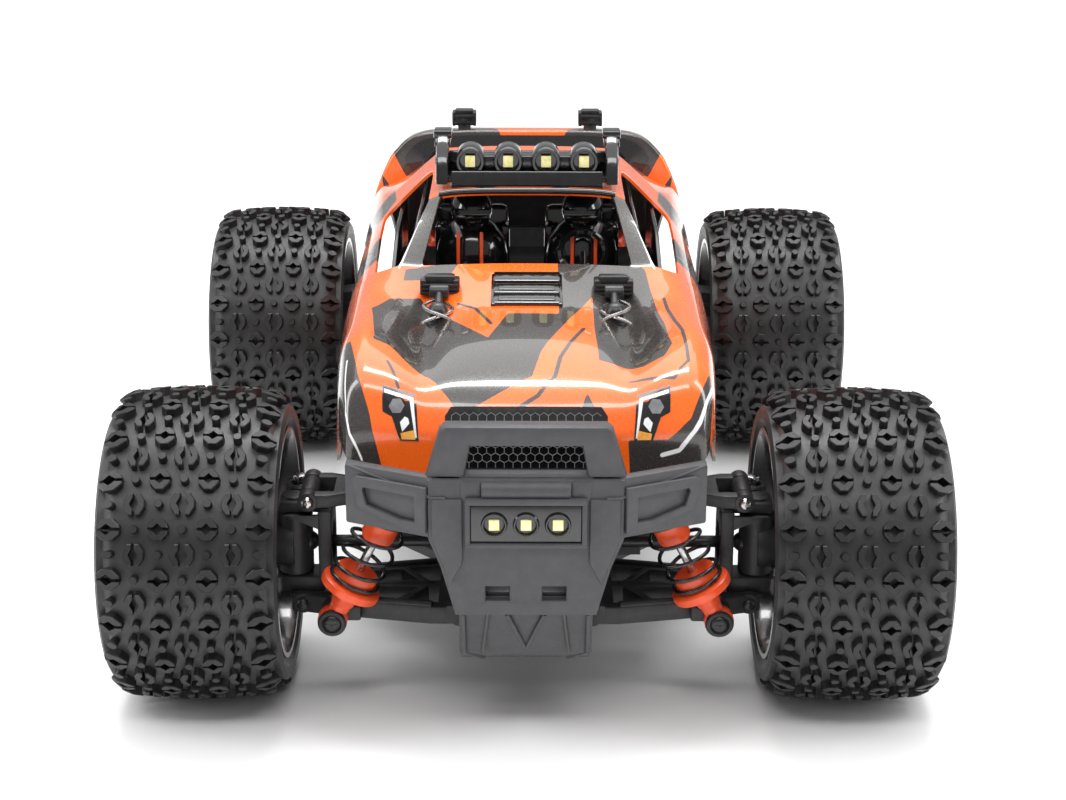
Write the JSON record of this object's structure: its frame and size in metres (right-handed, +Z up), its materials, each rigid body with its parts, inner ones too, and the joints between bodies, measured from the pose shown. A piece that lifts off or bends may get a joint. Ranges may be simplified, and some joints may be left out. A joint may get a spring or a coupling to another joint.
{
  "type": "rc monster truck",
  "caption": "Radio-controlled four-wheel-drive monster truck with a painted shell, roof light bar, coil-over suspension, steering and block-tread tyres.",
  "frame": {"origin": "on the ground, under the middle of the truck", "axes": "+Z up, -Y towards the front bumper, +X towards the truck's own left side"},
  "size_m": [0.299, 0.411, 0.187],
  "materials": {
    "tyre_rubber": "matte moulded rubber",
    "rim_gloss_black": "glossy black nylon",
    "black_nylon": "satin glass-filled nylon",
    "bumper_grey": "matte moulded plastic",
    "body_paint": "glossy painted clear polycarbonate, orange with dark and white graphics",
    "orange_plastic": "moulded orange nylon",
    "gloss_black": "glossy black plastic",
    "spring_black": "black coated steel wire",
    "steel": "polished steel",
    "aluminium": "anodised",
    "motor_can": "machined can",
    "gear_brass": "machined brass",
    "gear_nylon": "moulded nylon gear",
    "battery_wrap": "shrink-wrapped pack"
  },
  "bodies": {
    "root": {"steering_servo": "black_nylon", "chassis_plate": "black_nylon", "front_gearbox": "black_nylon", "rear_gearbox": "black_nylon", "front_shock_tower": "black_nylon", "front_bumper": "bumper_grey", "skid_plate": "bumper_grey", "body_shell": "body_paint", "light_bar": "gloss_black", "cockpit_insert": "gloss_black", "battery_pack": "battery_wrap", "motor": "motor_can", "speed_controller": "aluminium"},
    "lower_arm_front_left": {"lower_arm_front_left": "black_nylon"},
    "upper_arm_front_left": {"upper_arm_front_left": "black_nylon"},
    "caster_block_left": {"caster_block_left": "black_nylon"},
    "steering_knuckle_left": {"steering_knuckle_left": "black_nylon"},
    "wheel_front_left": {"tyre_front_left": "tyre_rubber", "rim_front_left": "rim_gloss_black"},
    "drive_shaft_front_left": {"drive_shaft_front_left": "steel"},
    "shock_body_front_left": {"shock_body_front_left": "orange_plastic", "spring_front_left": "spring_black"},
    "shock_shaft_front_left": {"shock_shaft_front_left": "orange_plastic"},
    "lower_arm_front_right": {"lower_arm_front_right": "black_nylon"},
    "upper_arm_front_right": {"upper_arm_front_right": "black_nylon"},
    "caster_block_right": {"caster_block_right": "black_nylon"},
    "steering_knuckle_right": {"steering_knuckle_right": "black_nylon"},
    "wheel_front_right": {"tyre_front_right": "tyre_rubber", "rim_front_right": "rim_gloss_black"},
    "drive_shaft_front_right": {"drive_shaft_front_right": "steel"},
    "shock_body_front_right": {"shock_body_front_right": "orange_plastic", "spring_front_right": "spring_black"},
    "shock_shaft_front_right": {"shock_shaft_front_right": "orange_plastic"},
    "lower_arm_rear_left": {"lower_arm_rear_left": "black_nylon"},
    "upper_arm_rear_left": {"upper_arm_rear_left": "black_nylon"},
    "hub_carrier_left": {"hub_carrier_left": "black_nylon"},
    "wheel_rear_left": {"tyre_rear_left": "tyre_rubber", "rim_rear_left": "rim_gloss_black"},
    "drive_shaft_rear_left": {"drive_shaft_rear_left": "steel"},
    "shock_body_rear_left": {"shock_body_rear_left": "orange_plastic", "spring_rear_left": "spring_black"},
    "shock_shaft_rear_left": {"shock_shaft_rear_left": "orange_plastic"},
    "lower_arm_rear_right": {"lower_arm_rear_right": "black_nylon"},
    "upper_arm_rear_right": {"upper_arm_rear_right": "black_nylon"},
    "hub_carrier_right": {"hub_carrier_right": "black_nylon"},
    "wheel_rear_right": {"tyre_rear_right": "tyre_rubber", "rim_rear_right": "rim_gloss_black"},
    "drive_shaft_rear_right": {"drive_shaft_rear_right": "steel"},
    "shock_body_rear_right": {"shock_body_rear_right": "orange_plastic", "spring_rear_right": "spring_black"},
    "shock_shaft_rear_right": {"shock_shaft_rear_right": "orange_plastic"},
    "center_link": {"center_link": "black_nylon"},
    "servo_saver": {"servo_saver": "black_nylon"},
    "tie_rod_left": {"tie_rod_left": "black_nylon"},
    "hood_clip_left": {"hood_clip_left": "steel"},
    "tie_rod_right": {"tie_rod_right": "black_nylon"},
    "hood_clip_right": {"hood_clip_right": "steel"},
    "center_drive": {"center_shaft": "steel", "spur_gear": "gear_nylon"},
    "pinion_gear": {"pinion_gear": "gear_brass"}
  },
  "joints": [
    {"name": "suspension_front_left", "type": "hinge", "parent": "root", "child": "lower_arm_front_left", "pos_m": [0.024, -0.1375, 0.0375], "axis": [0, -1, 0], "range_deg": [-10, 10], "stiffness_Nm_per_rad": 6, "springref_deg": -2.86},
    {"name": "upper_arm_swing_front_left", "type": "hinge", "parent": "root", "child": "upper_arm_front_left", "pos_m": [0.021, -0.1375, 0.078], "axis": [0, -1, 0], "range_deg": [-10.5, 10.5]},
    {"name": "upright_swing_front_left", "type": "hinge", "parent": "lower_arm_front_left", "child": "caster_block_left", "pos_m": [0.082, -0.1375, 0.0375], "axis": [0, -1, 0], "range_deg": [-10.5, 10.5]},
    {"name": "steer_left", "type": "hinge", "parent": "caster_block_left", "child": "steering_knuckle_left", "pos_m": [0.085, -0.1375, 0.0575], "axis": [0, 0, 1], "range_deg": [-22, 22]},
    {"name": "wheel_spin_front_left", "type": "hinge", "parent": "steering_knuckle_left", "child": "wheel_front_left", "pos_m": [0.118, -0.1375, 0.0575], "axis": [1, 0, 0], "continuous": true},
    {"name": "drive_shaft_spin_front_left", "type": "hinge", "parent": "lower_arm_front_left", "child": "drive_shaft_front_left", "pos_m": [0.05, -0.1375, 0.058], "axis": [1, 0, 0], "continuous": true},
    {"name": "shock_swing_front_left", "type": "hinge", "parent": "root", "child": "shock_body_front_left", "pos_m": [0.034, -0.16, 0.107], "axis": [0, -1, 0], "range_deg": [-3.2, 3.2]},
    {"name": "shock_stroke_front_left", "type": "slide", "parent": "shock_body_front_left", "child": "shock_shaft_front_left", "axis": [-0.4548, 0, 0.8906], "range_m": [-0.0078, 0.0078], "deforming": ["spring_front_left"]},
    {"name": "suspension_front_right", "type": "hinge", "parent": "root", "child": "lower_arm_front_right", "pos_m": [-0.024, -0.1375, 0.0375], "axis": [0, 1, 0], "range_deg": [-10, 10], "stiffness_Nm_per_rad": 6, "springref_deg": -2.86},
    {"name": "upper_arm_swing_front_right", "type": "hinge", "parent": "root", "child": "upper_arm_front_right", "pos_m": [-0.021, -0.1375, 0.078], "axis": [0, 1, 0], "range_deg": [-10.5, 10.5]},
    {"name": "upright_swing_front_right", "type": "hinge", "parent": "lower_arm_front_right", "child": "caster_block_right", "pos_m": [-0.082, -0.1375, 0.0375], "axis": [0, 1, 0], "range_deg": [-10.5, 10.5]},
    {"name": "steer_right", "type": "hinge", "parent": "caster_block_right", "child": "steering_knuckle_right", "pos_m": [-0.085, -0.1375, 0.0575], "axis": [0, 0, 1], "range_deg": [-22.5, 22.5]},
    {"name": "wheel_spin_front_right", "type": "hinge", "parent": "steering_knuckle_right", "child": "wheel_front_right", "pos_m": [-0.118, -0.1375, 0.0575], "axis": [1, 0, 0], "continuous": true},
    {"name": "drive_shaft_spin_front_right", "type": "hinge", "parent": "lower_arm_front_right", "child": "drive_shaft_front_right", "pos_m": [-0.05, -0.1375, 0.058], "axis": [1, 0, 0], "continuous": true},
    {"name": "shock_swing_front_right", "type": "hinge", "parent": "root", "child": "shock_body_front_right", "pos_m": [-0.034, -0.16, 0.107], "axis": [0, 1, 0], "range_deg": [-3.2, 3.2]},
    {"name": "shock_stroke_front_right", "type": "slide", "parent": "shock_body_front_right", "child": "shock_shaft_front_right", "axis": [0.4548, 0, 0.8906], "range_m": [-0.0078, 0.0078], "deforming": ["spring_front_right"]},
    {"name": "suspension_rear_left", "type": "hinge", "parent": "root", "child": "lower_arm_rear_left", "pos_m": [0.024, 0.1375, 0.0375], "axis": [0, -1, 0], "range_deg": [-10, 10], "stiffness_Nm_per_rad": 6, "springref_deg": -2.86},
    {"name": "upper_arm_swing_rear_left", "type": "hinge", "parent": "root", "child": "upper_arm_rear_left", "pos_m": [0.021, 0.1375, 0.078], "axis": [0, -1, 0], "range_deg": [-10.5, 10.5]},
    {"name": "upright_swing_rear_left", "type": "hinge", "parent": "lower_arm_rear_left", "child": "hub_carrier_left", "pos_m": [0.082, 0.1375, 0.0375], "axis": [0, -1, 0], "range_deg": [-10.5, 10.5]},
    {"name": "wheel_spin_rear_left", "type": "hinge", "parent": "hub_carrier_left", "child": "wheel_rear_left", "pos_m": [0.118, 0.1375, 0.0575], "axis": [1, 0, 0], "continuous": true},
    {"name": "drive_shaft_spin_rear_left", "type": "hinge", "parent": "lower_arm_rear_left", "child": "drive_shaft_rear_left", "pos_m": [0.05, 0.1375, 0.058], "axis": [1, 0, 0], "continuous": true},
    {"name": "shock_swing_rear_left", "type": "hinge", "parent": "root", "child": "shock_body_rear_left", "pos_m": [0.034, 0.16, 0.107], "axis": [0, -1, 0], "range_deg": [-3.2, 3.2]},
    {"name": "shock_stroke_rear_left", "type": "slide", "parent": "shock_body_rear_left", "child": "shock_shaft_rear_left", "axis": [-0.4548, 0, 0.8906], "range_m": [-0.0078, 0.0078], "deforming": ["spring_rear_left"]},
    {"name": "suspension_rear_right", "type": "hinge", "parent": "root", "child": "lower_arm_rear_right", "pos_m": [-0.024, 0.1375, 0.0375], "axis": [0, 1, 0], "range_deg": [-10, 10], "stiffness_Nm_per_rad": 6, "springref_deg": -2.86},
    {"name": "upper_arm_swing_rear_right", "type": "hinge", "parent": "root", "child": "upper_arm_rear_right", "pos_m": [-0.021, 0.1375, 0.078], "axis": [0, 1, 0], "range_deg": [-10.5, 10.5]},
    {"name": "upright_swing_rear_right", "type": "hinge", "parent": "lower_arm_rear_right", "child": "hub_carrier_right", "pos_m": [-0.082, 0.1375, 0.0375], "axis": [0, 1, 0], "range_deg": [-10.5, 10.5]},
    {"name": "wheel_spin_rear_right", "type": "hinge", "parent": "hub_carrier_right", "child": "wheel_rear_right", "pos_m": [-0.118, 0.1375, 0.0575], "axis": [1, 0, 0], "continuous": true},
    {"name": "drive_shaft_spin_rear_right", "type": "hinge", "parent": "lower_arm_rear_right", "child": "drive_shaft_rear_right", "pos_m": [-0.05, 0.1375, 0.058], "axis": [1, 0, 0], "continuous": true},
    {"name": "shock_swing_rear_right", "type": "hinge", "parent": "root", "child": "shock_body_rear_right", "pos_m": [-0.034, 0.16, 0.107], "axis": [0, 1, 0], "range_deg": [-3.2, 3.2]},
    {"name": "shock_stroke_rear_right", "type": "slide", "parent": "shock_body_rear_right", "child": "shock_shaft_rear_right", "axis": [0.4548, 0, 0.8906], "range_m": [-0.0078, 0.0078], "deforming": ["spring_rear_right"]},
    {"name": "link_slide", "type": "slide", "parent": "root", "child": "center_link", "axis": [1, 0, 0], "range_m": [-0.0078, 0.0078]},
    {"name": "servo_saver_turn", "type": "hinge", "parent": "root", "child": "servo_saver", "pos_m": [0.0105, -0.09, 0.071], "axis": [0, 0, 1], "range_deg": [-16, 16]},
    {"name": "tie_rod_swing_left", "type": "hinge", "parent": "center_link", "child": "tie_rod_left", "pos_m": [0.027, -0.118, 0.071], "axis": [0, -1, 0], "range_deg": [-10.5, 10.5]},
    {"name": "clip_pull_left", "type": "slide", "parent": "root", "child": "hood_clip_left", "axis": [0, -1, 0], "range_m": [0, 0.016]},
    {"name": "tie_rod_swing_right", "type": "hinge", "parent": "center_link", "child": "tie_rod_right", "pos_m": [-0.027, -0.118, 0.071], "axis": [0, 1, 0], "range_deg": [-10.5, 10.5]},
    {"name": "clip_pull_right", "type": "slide", "parent": "root", "child": "hood_clip_right", "axis": [0, -1, 0], "range_m": [0, 0.016]},
    {"name": "center_drive_spin", "type": "hinge", "parent": "root", "child": "center_drive", "pos_m": [0, 0, 0.058], "axis": [0, 1, 0], "continuous": true},
    {"name": "motor_spin", "type": "hinge", "parent": "root", "child": "pinion_gear", "pos_m": [0.024, 0.082, 0.058], "axis": [0, 1, 0], "continuous": true}
  ],
  "couplings": [
    {"joint": "upper_arm_swing_front_left", "follows": "suspension_front_left", "ratio": 1},
    {"joint": "upright_swing_front_left", "follows": "suspension_front_left", "ratio": -1},
    {"joint": "drive_shaft_spin_front_left", "follows": "wheel_spin_front_left", "ratio": 1},
    {"joint": "shock_swing_front_left", "follows": "suspension_front_left", "ratio": 0.275},
    {"joint": "shock_stroke_front_left", "follows": "suspension_front_left", "m_per_rad": 0.0405},
    {"joint": "upper_arm_swing_front_right", "follows": "suspension_front_right", "ratio": 1},
    {"joint": "upright_swing_front_right", "follows": "suspension_front_right", "ratio": -1},
    {"joint": "drive_shaft_spin_front_right", "follows": "wheel_spin_front_right", "ratio": 1},
    {"joint": "shock_swing_front_right", "follows": "suspension_front_right", "ratio": 0.275},
    {"joint": "shock_stroke_front_right", "follows": "suspension_front_right", "m_per_rad": 0.0405},
    {"joint": "upper_arm_swing_rear_left", "follows": "suspension_rear_left", "ratio": 1},
    {"joint": "upright_swing_rear_left", "follows": "suspension_rear_left", "ratio": -1},
    {"joint": "drive_shaft_spin_rear_left", "follows": "wheel_spin_rear_left", "ratio": 1},
    {"joint": "shock_swing_rear_left", "follows": "suspension_rear_left", "ratio": 0.275},
    {"joint": "shock_stroke_rear_left", "follows": "suspension_rear_left", "m_per_rad": 0.0405},
    {"joint": "upper_arm_swing_rear_right", "follows": "suspension_rear_right", "ratio": 1},
    {"joint": "upright_swing_rear_right", "follows": "suspension_rear_right", "ratio": -1},
    {"joint": "drive_shaft_spin_rear_right", "follows": "wheel_spin_rear_right", "ratio": 1},
    {"joint": "shock_swing_rear_right", "follows": "suspension_rear_right", "ratio": 0.275},
    {"joint": "shock_stroke_rear_right", "follows": "suspension_rear_right", "m_per_rad": 0.0405},
    {"joint": "steer_right", "follows": "steer_left", "ratio": 1},
    {"joint": "link_slide", "follows": "steer_left", "m_per_rad": -0.0195},
    {"joint": "servo_saver_turn", "follows": "steer_left", "ratio": -0.6964},
    {"joint": "tie_rod_swing_left", "follows": "suspension_front_left", "ratio": 1},
    {"joint": "tie_rod_swing_right", "follows": "suspension_front_right", "ratio": 1},
    {"joint": "motor_spin", "follows": "center_drive_spin", "ratio": -3}
  ]
}
